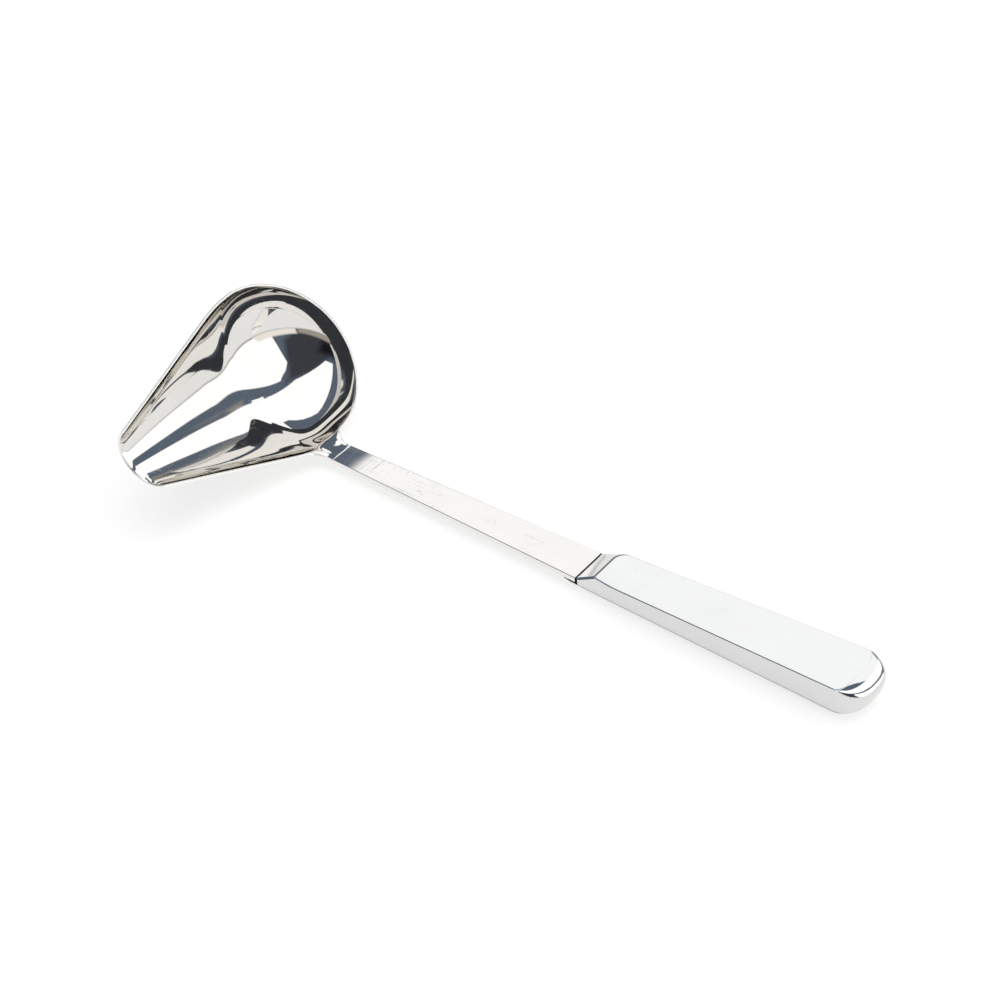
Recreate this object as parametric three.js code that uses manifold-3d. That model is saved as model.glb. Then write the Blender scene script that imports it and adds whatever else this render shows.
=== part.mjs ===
// Hollow-handle spout ladle: a round bowl with a pouring spout at right angles to the stem,
// stamped in one piece with the stem, and a hollow handle made of two welded shells.
// Millimetres, +Z up. It lies on its bowl and on the flat underside of its handle.

import * as THREE from 'three';
import * as BufferGeometryUtils from 'three/addons/utils/BufferGeometryUtils.js';
import Module from 'manifold-3d';

const wasm = await Module();
wasm.setup();

// ---------------------------------------------------------------- driving dimensions
// The model is drawn with +X along the stem from bowl to handle and +Z out of the stem's flat
// top. Zero is where the stem leaves the rim. At the end it moves to its reference point.

const pieceGap = 0.3;          // kept between neighbouring pieces
const tangClearance = 0.4;     // on each side of the tang in the handle's mouth

const rimTilt = THREE.MathUtils.degToRad(46.5); // the rim's far side stands up from the stem
const rimRadius = 36.5;        // outer edge of the round part of the rim
const rimCentre = new THREE.Vector3(-25.2, 1.8, 26.9);
const bowlDepth = 25;          // outside, square to the rim
const bowlWall = 1.1;
const wallDraft = THREE.MathUtils.degToRad(8); // the wall flares this much at the rim

const spoutReach = 74.5;       // from the rim's centre to the corners of the pouring lip
const mouthHalfWidth = 13.3;   // outside
const mouthShift = -3.8;       // the mouth's middle, towards the rim's high side
const mouthDepth = 8.8;        // outside
const mouthLean = 0.14;        // sideways shift of the channel's floor for each unit of depth
const floorStartShare = 0.1;   // the floor leaves the bowl's round this far out, in radii
const lipBulge = 2.1;          // the lip's middle reaches further than its corners

const stemThickness = 2.1;
const stemHalfWidthBowl = 5.4;
const stemHalfWidthNeck = 8.6;
const filletHigh = 7.5;        // where the rim runs into the stem, away from the spout
const rimPull = 1.6;           // the rim runs in by this much just before that fillet
const rimPullStart = 24;
const pullShare = 5;           // it takes in the last fifth of the section
const bendEnd = 6;             // the stem is flat from here
const bendDrop = 2.2;          // the bend starts this far below the rim
const neckX = 126.9;           // shoulder that butts on the handle's mouth
const tangHalfWidth = 6.2;
const tangEndX = 162;
const shoulderStep = 0.05;     // the sheet narrows to the tang over this length

const handleWall = 1;
const handleMouthX = 127.3;
const facetFrontX = 134.9;     // the flat top starts behind a sloping front
const facetRearX = 238.8;
const facetFrontZ = 4.3;
const facetRearZ = 8;
const facetFrontHalfWidth = 9.3;
const facetRearHalfWidth = 12.3;
const facetCornerAway = 4.5;   // plan radius of the facet's front corner away from the spout
const facetCornerSpout = 1.5;
const mouthCorner = 1.2;
const seamZ = -1;              // the two shells meet here
const facetPinch = 0.9;        // the facet narrows by this at its front, on the spout's side
const pinchLength = 14;
const bottomZ = -6.2;          // flat underside, level with the lowest point of the bowl
const bottomRoundHeight = 5.1; // the sides turn under in a quarter of an ellipse
const bottomRoundWidth = 5.6;
const bottomEndLead = 7;       // the underside starts to close this far before the facet's end
const prowTipX = 120.5;        // the lower shell reaches forward under the stem
const prowFullX = 152;
const prowPower = 0.9;
const endBulge = 11.5;         // the rounded end stands this far past the facet's rear corners
const endWideZ = 3.6;          // it is longest at this height
const endRise = 4.51;          // from there up to where it would close
const endFall = 9.85;
const endFullness = 2.6;       // exponent of its upper curve; the lower one is an ellipse
const endPlanFullness = 2.5;   // and of its outline seen from above, less at the underside

// ---------------------------------------------------------------- small helpers

function smoothstep(t) {
  return THREE.MathUtils.smoothstep(t, 0, 1);
}

function steelMaterial(colour, roughness) {
  return new THREE.MeshStandardMaterial({ color: colour, roughness, metalness: 1 });
}

function namedMesh(name, geometry, material) {
  geometry.computeVertexNormals();
  const mesh = new THREE.Mesh(geometry, material);
  mesh.name = name;
  return mesh;
}

function indexedGeometry(points, triangles) {
  const geometry = new THREE.BufferGeometry();
  const positions = points.flatMap((p) => [p.x, p.y, p.z]);
  geometry.setAttribute('position', new THREE.Float32BufferAttribute(positions, 3));
  geometry.setIndex(triangles.flat());
  return geometry;
}

function toSolid(geometry) {
  const bare = geometry.clone();
  bare.deleteAttribute('normal');
  bare.deleteAttribute('uv');
  const merged = BufferGeometryUtils.mergeVertices(bare, 1e-4);
  const vertProperties = new Float32Array(merged.attributes.position.array);
  const triVerts = new Uint32Array(merged.index.array);
  return new wasm.Manifold(new wasm.Mesh({ numProp: 3, vertProperties, triVerts }));
}

function toGeometry(solid) {
  const mesh = solid.getMesh();
  const geometry = new THREE.BufferGeometry();
  geometry.setAttribute('position', new THREE.BufferAttribute(mesh.vertProperties, 3));
  geometry.setIndex(new THREE.BufferAttribute(mesh.triVerts, 1));
  return geometry;
}

function boxSolid(low, high) {
  const size = new THREE.Vector3().subVectors(high, low);
  const middle = new THREE.Vector3().addVectors(low, high).multiplyScalar(0.5);
  const box = new THREE.BoxGeometry(size.x, size.y, size.z);
  return toSolid(box.translate(middle.x, middle.y, middle.z));
}

// ---------------------------------------------------------------- the bowl's surfaces
// Rim coordinates: u towards the handle, v away from the spout, w out of the bowl. Each row of
// the sheet is a section at one v, from the rim's high side, through the floor, to the stem side.

const rimU = new THREE.Vector3(Math.cos(rimTilt), 0, -Math.sin(rimTilt));
const rimV = new THREE.Vector3(0, 1, 0);
const rimW = new THREE.Vector3(Math.sin(rimTilt), 0, Math.cos(rimTilt));

function fromRim(u, v, w) {
  return rimCentre.clone()
    .addScaledVector(rimU, u)
    .addScaledVector(rimV, v)
    .addScaledVector(rimW, w);
}

// The point where a straight line from the corner touches the round of the given radius.
function tangentPoint(radius, corner, side) {
  const reach = corner.length();
  const angle = Math.atan2(corner.y, corner.x) + side * Math.acos(radius / reach);
  return new THREE.Vector2(radius * Math.cos(angle), radius * Math.sin(angle));
}

// One face of the sheet: wall 0 is the outside, wall bowlWall the inside. The round part is a cap
// of an ellipsoid, cut where its wall still flares by wallDraft.
function bowlFace(wall) {
  const radius = rimRadius - wall;
  const depth = bowlDepth - wall;
  const lipDepth = mouthDepth - wall;
  const nearCorner = new THREE.Vector2(mouthShift + mouthHalfWidth - wall, -spoutReach);
  const farCorner = new THREE.Vector2(mouthShift - mouthHalfWidth + wall, -spoutReach);
  const nearTouch = tangentPoint(radius, nearCorner, 1);
  const farTouch = tangentPoint(radius, farCorner, -1);

  function edge(v, corner, touch, side) {
    if (v > touch.y) {
      return side * Math.sqrt(Math.max(0, radius * radius - v * v));
    }
    return THREE.MathUtils.mapLinear(v, touch.y, corner.y, touch.x, corner.x);
  }

  // How far the rim is pulled in towards the bowl's middle on its way into the stem. Only the
  // upper part of the wall follows it.
  function pull(v) {
    const share = (rimPullStart - v) / (rimPullStart - filletHigh);
    return v > 0 ? rimPull * smoothstep(share) : rimPull * smoothstep(1 + v / filletHigh);
  }

  function capDepth(v) {
    const level = Math.sqrt(Math.max(0, 1 - (v * Math.cos(wallDraft) / radius) ** 2));
    const sine = Math.sin(wallDraft);
    return { depth: depth * (level - sine) / (1 - sine), draft: Math.asin(Math.min(1, sine / level)) };
  }

  // The floor of the spout is straight in side view. It runs from the bowl's floor to the lip.
  const floorStart = -floorStartShare * radius;
  const startDepth = capDepth(floorStart).depth;

  function section(row) {
    const v = row > 0 ? row * radius / rimRadius : row;
    const near = edge(v, nearCorner, nearTouch, 1);
    const far = edge(v, farCorner, farTouch, -1);
    const cap = capDepth(Math.max(v, floorStart));
    const straight = THREE.MathUtils.mapLinear(v, floorStart, -spoutReach, startDepth, lipDepth);
    return {
      v,
      middle: (near + far) / 2,
      half: (near - far) / 2,
      depth: v > floorStart ? cap.depth : straight,
      draft: v > floorStart ? cap.draft : capDepth(floorStart).draft,
      lean: mouthLean * smoothstep(-v / spoutReach),
      bulge: lipBulge * smoothstep(-2 * v / spoutReach - 1),
      pull: pull(v),
    };
  }

  // part runs from 0 at the rim's high side to 1 at the stem side. The first row is one point.
  function point(row, part) {
    const s = section(row);
    if (row === rimRadius) {
      return fromRim(0, s.v, 0);
    }
    const angle = THREE.MathUtils.lerp(Math.PI - s.draft, s.draft, part);
    const sink = (Math.sin(angle) - Math.sin(s.draft)) / (1 - Math.sin(s.draft));
    const drop = s.depth * sink;
    const across = s.half * Math.cos(angle) / Math.cos(s.draft);
    const pulled = s.pull * smoothstep(pullShare * part - pullShare + 1);
    const u = s.middle + across - s.lean * drop - pulled;
    return fromRim(u, s.v - s.bulge * sink, -drop);
  }

  return { section, point, nearTouch };
}

// ---------------------------------------------------------------- bowl, spout, stem and tang

const backRows = 9;
const stemRows = 8;
const spoutRows = 11;
const arcSteps = 22;
const bendSteps = 5;
const stemSteps = 5;
const slopeProbe = 0.001;      // the wall's and the rim's directions are taken over these steps
const rimProbe = 0.1;

function lerpList(from, to, steps) {
  return Array.from({ length: steps }, (_, k) => THREE.MathUtils.lerp(from, to, (k + 1) / steps));
}

function rowPositions(touchV) {
  const backAngle = Math.acos(filletHigh / rimRadius);
  const back = lerpList(0, backAngle, backRows).map((a) => rimRadius * Math.cos(a));
  const across = lerpList(filletHigh, touchV, stemRows);
  const spout = lerpList(touchV, -spoutReach, spoutRows);
  return [rimRadius, ...back, ...across, ...spout];
}

function hermite(start, startSlope, end, endSlope, t) {
  const t2 = t * t;
  const t3 = t2 * t;
  return new THREE.Vector3()
    .addScaledVector(start, 2 * t3 - 3 * t2 + 1)
    .addScaledVector(startSlope, t3 - 2 * t2 + t)
    .addScaledVector(end, 3 * t2 - 2 * t3)
    .addScaledVector(endSlope, t3 - t2);
}

// Where the stem's cross lines lie, and half its width there. Behind the shoulder is the tang.
function stemStations() {
  const width = (x) => THREE.MathUtils.mapLinear(x, 0, neckX, stemHalfWidthBowl, stemHalfWidthNeck);
  const flat = lerpList(bendEnd, neckX, stemSteps).map((x) => ({ x, half: width(x) }));
  const tang = [
    { x: neckX + shoulderStep, half: tangHalfWidth },
    { x: tangEndX, half: tangHalfWidth },
  ];
  return { start: { x: bendEnd, half: width(bendEnd) }, rest: [...flat, ...tang] };
}

// The rows of one face. Rows across the stem leave the bowl just under the rim, bend over into
// the flat of the stem and run on to the tang; the outermost two follow the rim into a fillet.
function sheetFace(wall, rows, stemZ) {
  const face = bowlFace(wall);
  const stations = stemStations();
  const first = backRows;
  const last = backRows + stemRows;
  return rows.map((row, j) => {
    const onStem = j >= first && j <= last;
    const across = onStem ? 1 - 2 * (j - first) / stemRows : 0;
    const side = Math.sign(across);
    const edgeShare = Math.abs(across) ** 2;
    const s = face.section(row);
    const drop = bendDrop * (1 - edgeShare);
    const endPart = onStem ? 1 - drop / (Math.PI * s.depth) : 1;
    const line = [];
    for (let i = 0; i <= arcSteps; i += 1) {
      line.push(face.point(row, endPart * i / arcSteps));
    }
    if (!onStem) {
      return line;
    }
    const start = line[arcSteps];
    const upWall = face.point(row, endPart + slopeProbe).sub(start).normalize();
    const rimStep = face.point(row - side * rimProbe, 1).sub(face.point(row, 1)).normalize();
    const slope = upWall.multiplyScalar(1 - edgeShare).addScaledVector(rimStep, edgeShare);
    const end = new THREE.Vector3(stations.start.x, across * stations.start.half, stemZ);
    const pull = start.distanceTo(end);
    slope.setLength(pull);
    const along = new THREE.Vector3(pull, 0, 0);
    for (const t of lerpList(0, 1, bendSteps)) {
      line.push(hermite(start, slope, end, along, t));
    }
    for (const { x, half } of stations.rest) {
      line.push(new THREE.Vector3(x, across * half, stemZ));
    }
    return line;
  });
}

// A closed body between two faces that have the same rows. The side walls follow the open edges.
function sheetBody(topLines, bottomLines) {
  const ids = [];
  const top = [];
  const bottom = [];
  topLines.forEach((line, j) => {
    ids.push(line.map((point, i) => {
      const poleRow = j === 0 && i > 0;
      if (!poleRow) {
        top.push(point);
        bottom.push(bottomLines[j][i]);
      }
      return poleRow ? 0 : top.length - 1;
    }));
  });
  const faces = [];
  for (let j = 0; j + 1 < ids.length; j += 1) {
    const columns = Math.min(ids[j].length, ids[j + 1].length);
    for (let i = 0; i + 1 < columns; i += 1) {
      const [a, b, c, d] = [ids[j][i], ids[j][i + 1], ids[j + 1][i + 1], ids[j + 1][i]];
      faces.push([a, d, c]);
      if (a !== b) {
        faces.push([a, c, b]);
      }
    }
  }
  const edges = new Set(faces.flatMap(([a, b, c]) => [`${a},${b}`, `${b},${c}`, `${c},${a}`]));
  const n = top.length;
  const under = faces.map(([a, b, c]) => [a + n, c + n, b + n]);
  const sides = [];
  for (const edge of edges) {
    const [a, b] = edge.split(',').map(Number);
    if (!edges.has(`${b},${a}`)) {
      sides.push([b, a, a + n], [b, a + n, b + n]);
    }
  }
  return indexedGeometry([...top, ...bottom], [...faces, ...under, ...sides]);
}

function makeLadleBlank() {
  const rows = rowPositions(bowlFace(0).nearTouch.y);
  const topLines = sheetFace(bowlWall, rows, 0);
  const bottomLines = sheetFace(0, rows, -stemThickness);
  return sheetBody(topLines, bottomLines);
}

// ---------------------------------------------------------------- the handle's shells

const cornerSteps = 4;
const sideSteps = 5;
const sideCrowding = 1.8;      // brings the side's points closer together towards its front
const endSteps = 9;

function handleHalfWidth(x) {
  return THREE.MathUtils.mapLinear(
    x, facetFrontX, facetRearX, facetFrontHalfWidth, facetRearHalfWidth);
}

function facetZ(x) {
  return THREE.MathUtils.mapLinear(x, facetFrontX, facetRearX, facetFrontZ, facetRearZ);
}

// One closed outline around the handle. frontX is its flat front, inset its distance inside the
// handle's sides and bulge how far its round end passes the facet's rear corners.
function handleOutline(shape) {
  const { frontX, inset, rearX = facetRearX, bulge, fullness = endPlanFullness } = shape;
  const { cornerShare, height } = shape;
  const endX = facetRearX + bulge;
  const side = (corner, pinch) => {
    const half = (x) => {
      const along = smoothstep((x - facetFrontX) / pinchLength);
      return handleHalfWidth(x) - inset - pinch * (1 - along) ** 2;
    };
    const points = [];
    for (let k = 0; k <= cornerSteps; k += 1) {
      const angle = (k / cornerSteps) * Math.PI / 2;
      const x = frontX + corner * (1 - Math.cos(angle));
      points.push([x, half(x) - corner * (1 - Math.sin(angle))]);
    }
    for (const share of lerpList(0, 1, sideSteps)) {
      const sideX = THREE.MathUtils.lerp(frontX + corner, rearX, share ** sideCrowding);
      points.push([sideX, half(sideX)]);
    }
    for (let k = 1; k < endSteps; k += 1) {
      const angle = (1 - k / endSteps) * Math.PI / 2;
      const along = Math.cos(angle) ** (2 / fullness);
      points.push([rearX + (endX - rearX) * along, half(rearX) * Math.sin(angle) ** (2 / fullness)]);
    }
    return points;
  };
  const cornerAway = THREE.MathUtils.lerp(mouthCorner, facetCornerAway, cornerShare);
  const cornerSpout = THREE.MathUtils.lerp(mouthCorner, facetCornerSpout, cornerShare);
  const awayFromSpout = side(cornerAway, 0);
  const spoutSide = side(cornerSpout, facetPinch * cornerShare);
  const outline = [
    [frontX, 0],
    ...awayFromSpout,
    [endX, 0],
    ...spoutSide.reverse().map(([x, y]) => [x, -y]),
  ];
  return outline.map(([x, y]) => new THREE.Vector3(x, y, height(x)));
}

// How far the round end passes the facet's rear corners at a height.
function endBulgeAt(z, wall) {
  const [reach, power] = z > endWideZ ? [endRise, endFullness] : [endFall, 2];
  const share = Math.min(1, Math.abs(z - endWideZ) / (reach - wall));
  return (endBulge - wall) * (1 - share ** power) ** (1 / power);
}

// Outlines from the facet down to the seam. share is 0 at the facet and 1 at the seam. The
// sloping front ends at the mouth's upper lip. The round end starts steeply under the facet.
const lipShare = (facetFrontZ - pieceGap) / (facetFrontZ - seamZ);

function upperOutline(share, wall) {
  const forward = Math.min(1, share / lipShare);
  const bevelWall = 2 * wall;
  return handleOutline({
    frontX: THREE.MathUtils.lerp(facetFrontX, handleMouthX, forward) + bevelWall,
    inset: wall,
    bulge: endBulgeAt(THREE.MathUtils.lerp(facetRearZ - wall, seamZ, share), wall),
    cornerShare: 1 - forward,
    height: (x) => THREE.MathUtils.lerp(facetZ(x) - wall, seamZ, share),
  });
}

// Outlines from the seam down to the flat underside.
function lowerOutline(z, wall, frontX) {
  const low = Math.max(0, 1 - (z - bottomZ - wall) / (bottomRoundHeight - wall));
  return handleOutline({
    frontX: frontX + wall,
    inset: wall + (bottomRoundWidth - wall) * (1 - Math.sqrt(1 - low * low)),
    rearX: facetRearX - bottomEndLead * (1 - Math.sqrt(1 - low * low)),
    bulge: endBulgeAt(z, wall),
    fullness: THREE.MathUtils.lerp(endPlanFullness, 2, low),
    cornerShare: 0,
    height: () => z,
  });
}

// The prow: the lower shell's floor rises towards its tip under the stem.
function prowX(z) {
  const top = -stemThickness - pieceGap;
  const fall = (top - z) / (top - bottomZ);
  return THREE.MathUtils.lerp(prowTipX, prowFullX, THREE.MathUtils.clamp(fall, 0, 1) ** prowPower);
}

function loftSolid(outlines) {
  const count = outlines[0].length;
  const points = outlines.flat();
  const triangles = [];
  for (let k = 0; k + 1 < outlines.length; k += 1) {
    for (let i = 0; i < count; i += 1) {
      const a = k * count + i;
      const b = k * count + (i + 1) % count;
      triangles.push([a, b + count, a + count], [a, b, b + count]);
    }
  }
  const caps = [[0, false], [outlines.length - 1, true]];
  for (const [k, flip] of caps) {
    const middle = new THREE.Vector3();
    outlines[k].forEach((p) => middle.addScaledVector(p, 1 / count));
    points.push(middle);
    const hub = points.length - 1;
    for (let i = 0; i < count; i += 1) {
      const a = k * count + i;
      const b = k * count + (i + 1) % count;
      triangles.push(flip ? [hub, a, b] : [hub, b, a]);
    }
  }
  return toSolid(indexedGeometry(points, triangles));
}

// The handle's outside (wall 0) or its hollow (wall handleWall), as outlines from top to bottom.
function handleBody(wall) {
  const upper = [0, 0.03, 0.1, 0.2, 0.35, 0.55, lipShare, 0.9].map((share) => upperOutline(share, wall));
  // The ledge under the stem: the hollow's is higher, so that it opens the prow's top.
  const ledge = -stemThickness - pieceGap + wall / 2;
  const underStem = [0.08, 0.25, 0.42, 0.58, 0.72, 0.85, 0.95, 1]
    .map((share) => THREE.MathUtils.lerp(ledge, bottomZ + wall, share))
    .map((z) => lowerOutline(z, wall, prowX(z - wall)));
  return loftSolid([
    ...upper,
    lowerOutline(seamZ, wall, handleMouthX),
    lowerOutline(ledge + shoulderStep, wall, handleMouthX),
    lowerOutline(ledge, wall, prowTipX),
    ...underStem,
  ]);
}

function makeHandleShells() {
  const slotHalfWidth = tangHalfWidth + tangClearance;
  const stemSlot = boxSolid(
    new THREE.Vector3(prowTipX, -slotHalfWidth, -stemThickness - pieceGap),
    new THREE.Vector3(facetFrontX, slotHalfWidth, pieceGap));
  const hollow = handleBody(0).subtract(handleBody(handleWall)).subtract(stemSlot);
  const far = 2 * facetRearX;
  const seamTop = new THREE.Vector3(far, far, seamZ + pieceGap / 2);
  const seamBottom = new THREE.Vector3(-far, -far, seamZ - pieceGap / 2);
  const below = boxSolid(new THREE.Vector3(-far, -far, -far), seamTop);
  const above = boxSolid(seamBottom, new THREE.Vector3(far, far, far));
  return { upper: toGeometry(hollow.subtract(below)), lower: toGeometry(hollow.subtract(above)) };
}

// ---------------------------------------------------------------- weld beads

const beadHalfHeight = 0.7;
const beadWidth = 0.9;
const beadSetback = 8;         // the seam's bead starts this far behind the mouth
const neckBeadX = 6.5;         // and the tang's bead ends here
const neckBeadLength = 2.2;

// The inner face of the weld that joins the two shells, from one side of the mouth round the end.
function makeSeamWeld() {
  const track = (inset) => handleOutline({
    frontX: handleMouthX + beadSetback,
    inset,
    bulge: endBulgeAt(seamZ - beadHalfHeight, handleWall) - (inset - handleWall),
    cornerShare: 0,
    height: () => 0,
  }).slice(cornerSteps + 1, -cornerSteps);
  const outer = track(handleWall + pieceGap);
  const inner = track(handleWall + pieceGap + beadWidth).reverse();
  const outline = new THREE.Shape([...outer, ...inner].map((p) => new THREE.Vector2(p.x, p.y)));
  const bead = new THREE.ExtrudeGeometry(outline, { depth: 2 * beadHalfHeight, bevelEnabled: false });
  return bead.translate(0, 0, seamZ - beadHalfHeight);
}

// The fillet across the top of the tang, just inside the handle's mouth.
function makeNeckWeld() {
  const backX = handleMouthX + neckBeadX;
  const profile = new THREE.Shape([
    new THREE.Vector2(backX - neckBeadLength, pieceGap),
    new THREE.Vector2(backX, pieceGap),
    new THREE.Vector2(backX, pieceGap + beadWidth),
  ]);
  const length = 2 * tangHalfWidth;
  const bead = new THREE.ExtrudeGeometry(profile, { depth: length, bevelEnabled: false });
  return bead.rotateX(Math.PI / 2).translate(0, length / 2, 0);
}

// ---------------------------------------------------------------- assembly

const ladle = new THREE.Group();
const shells = makeHandleShells();
ladle.add(
  namedMesh('ladle_blank', makeLadleBlank(), steelMaterial(0xc9ccd1, 0.1)),
  namedMesh('handle_upper_shell', shells.upper, steelMaterial(0xd6d8da, 0.12)),
  namedMesh('handle_lower_shell', shells.lower, steelMaterial(0xc8cac9, 0.14)),
  namedMesh('seam_weld', makeSeamWeld(), steelMaterial(0x8f9194, 0.5)),
  namedMesh('neck_weld', makeNeckWeld(), steelMaterial(0x8a8c90, 0.5)),
);

// The reference point is the middle of the bottom of the ladle's bounding box.
const bounds = new THREE.Box3().setFromObject(ladle, true);
const middle = bounds.getCenter(new THREE.Vector3());
ladle.position.set(-middle.x, -middle.y, -bounds.min.z);

export default ladle;
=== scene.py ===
"""Looks of the hollow-handle spout ladle: fine meshes, polished steel, soft studio."""

import math

import bpy
import numpy as np
from mathutils import Matrix, Vector


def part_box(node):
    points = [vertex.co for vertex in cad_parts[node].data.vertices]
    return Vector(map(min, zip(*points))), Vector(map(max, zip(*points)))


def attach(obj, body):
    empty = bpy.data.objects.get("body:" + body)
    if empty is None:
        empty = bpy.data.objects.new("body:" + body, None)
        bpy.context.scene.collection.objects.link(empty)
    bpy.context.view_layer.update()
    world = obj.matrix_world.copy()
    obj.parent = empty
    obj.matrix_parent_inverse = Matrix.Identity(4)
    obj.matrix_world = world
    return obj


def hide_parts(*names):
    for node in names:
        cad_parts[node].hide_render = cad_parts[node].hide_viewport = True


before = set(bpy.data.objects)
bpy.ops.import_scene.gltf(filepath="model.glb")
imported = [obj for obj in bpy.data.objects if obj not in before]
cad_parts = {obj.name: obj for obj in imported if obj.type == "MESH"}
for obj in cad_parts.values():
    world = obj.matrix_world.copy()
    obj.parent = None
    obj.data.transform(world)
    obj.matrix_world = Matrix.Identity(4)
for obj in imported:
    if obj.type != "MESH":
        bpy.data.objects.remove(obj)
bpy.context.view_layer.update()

# ---------------------------------------------------------------- dimensions, in millimetres
# As in the CAD model: +X along the stem from bowl to handle, zero where the stem leaves the rim,
# +Z out of the stem's flat top. to_frame() moves this to the shared frame, in metres.

RIM_TILT = math.radians(46.5)
RIM_RADIUS = 36.5
RIM_CENTRE = np.array([-25.2, 1.8, 26.9])
BOWL_DEPTH = 25
BOWL_WALL = 1.1
WALL_DRAFT = math.radians(8)

SPOUT_REACH = 74.5
MOUTH_HALF_WIDTH = 13.3
MOUTH_SHIFT = -3.8
MOUTH_DEPTH = 8.8
MOUTH_LEAN = 0.14
FLOOR_START_SHARE = 0.1
FLOOR_BLEND = 20               # the spout's floor and the bowl's melt together over this length
RIM_MELT = 9                   # and the round rim and the spout's straight edges over twice this
RIM_MELT_STEPS = 25
LIP_BULGE = 2.1
LIP_ROLL = 0.9                 # the pouring edge turns down by this much
LIP_ROLL_LENGTH = 2.6

STEM_THICKNESS = 2.1
STEM_HALF_WIDTH_BOWL = 5.4
STEM_HALF_WIDTH_NECK = 8.6
FILLET_HIGH = 7.5
RIM_PULL = 1.6
RIM_PULL_START = 24
PULL_SHARE = 5
BEND_END = 6
BEND_DROP = 2.2
NECK_X = 126.9
TANG_HALF_WIDTH = 6.2
TANG_END_X = 162

HANDLE_WALL = 1
HANDLE_MOUTH_X = 127.3
FACET_FRONT_X = 134.9
FACET_REAR_X = 238.8
FACET_FRONT_Z = 4.3
FACET_REAR_Z = 8
FACET_FRONT_HALF_WIDTH = 9.3
FACET_REAR_HALF_WIDTH = 12.3
FACET_CORNER_AWAY = 4.5
FACET_CORNER_SPOUT = 1.5
MOUTH_CORNER = 1.2
FACET_PINCH = 0.9
PINCH_LENGTH = 14
SEAM_Z = -1
BOTTOM_Z = -6.2
BOTTOM_ROUND_HEIGHT = 5.1
BOTTOM_ROUND_WIDTH = 5.6
BOTTOM_END_LEAD = 7
PROW_TIP_X = 120.5
PROW_FULL_X = 152
PROW_POWER = 0.9
END_BULGE = 11.5
END_WIDE_Z = 3.6
END_RISE = 4.51
END_FALL = 9.85
END_FULLNESS = 2.6
END_PLAN_FULLNESS = 2.5

GAP = 0.3                      # between the stem and the handle's mouth
SLOT_CLEARANCE = 0.4

LADLE_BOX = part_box("ladle_blank")
HANDLE_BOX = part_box("handle_lower_shell")
MM = 0.001
OFFSET = np.array([
    LADLE_BOX[1].x / MM - TANG_END_X,
    (HANDLE_BOX[0].y + HANDLE_BOX[1].y) / 2 / MM,
    HANDLE_BOX[0].z / MM - BOTTOM_Z,
])


def to_frame(points):
    """Points of the millimetre frame in the shared frame, in metres."""
    return (np.asarray(points, float) + OFFSET) * MM


def smoothstep(t):
    t = np.clip(t, 0, 1)
    return t * t * (3 - 2 * t)


def lerp(a, b, t):
    return a + (b - a) * t


def steps(start, end, count):
    """count values after start, the last one being end."""
    return [lerp(start, end, (k + 1) / count) for k in range(count)]


# ---------------------------------------------------------------- the bowl's two faces

RIM_U = np.array([math.cos(RIM_TILT), 0, -math.sin(RIM_TILT)])
RIM_V = np.array([0, 1, 0])
RIM_W = np.array([math.sin(RIM_TILT), 0, math.cos(RIM_TILT)])


def from_rim(u, v, w):
    u, v, w = np.broadcast_arrays(u, v, w)
    return RIM_CENTRE + u[..., None] * RIM_U + v[..., None] * RIM_V + w[..., None] * RIM_W


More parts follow.
